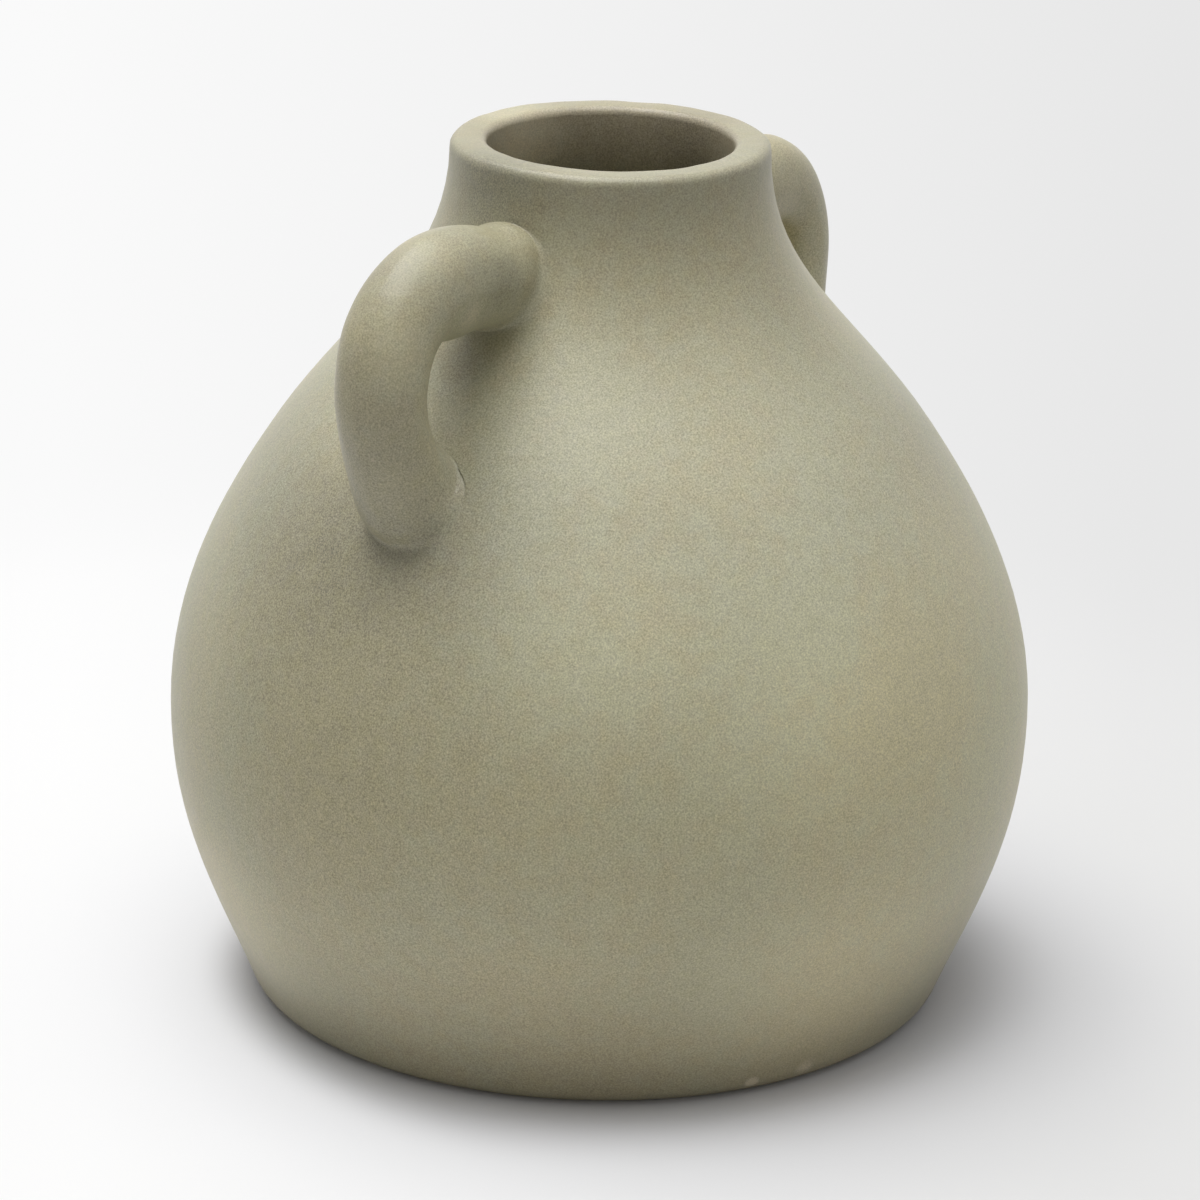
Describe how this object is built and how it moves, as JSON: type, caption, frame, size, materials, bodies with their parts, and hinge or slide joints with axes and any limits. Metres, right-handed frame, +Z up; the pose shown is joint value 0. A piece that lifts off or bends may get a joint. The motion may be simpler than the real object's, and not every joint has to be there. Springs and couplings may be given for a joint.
{
  "type": "milk jug",
  "caption": "Two-handled glazed ceramic milk jug with a round belly, sloping shoulder, narrow neck and thick flat lip; stands on a recessed foot.",
  "frame": {"origin": "middle of the circle that the jug stands on", "axes": "+Z up along the axis of the thrown body; +X towards handle_right, -X towards handle_left"},
  "size_m": [0.2564, 0.2564, 0.26],
  "materials": {
    "body_glaze": "satin-matt mottled sage and taupe glaze with fine speckle",
    "handle_left_glaze": "satin-matt mottled sage and taupe glaze with fine speckle",
    "handle_right_glaze": "satin-matt mottled sage and taupe glaze with fine speckle"
  },
  "bodies": {
    "root": {"jug_body": "body_glaze", "handle_left": "handle_left_glaze", "handle_right": "handle_right_glaze"}
  },
  "joints": []
}
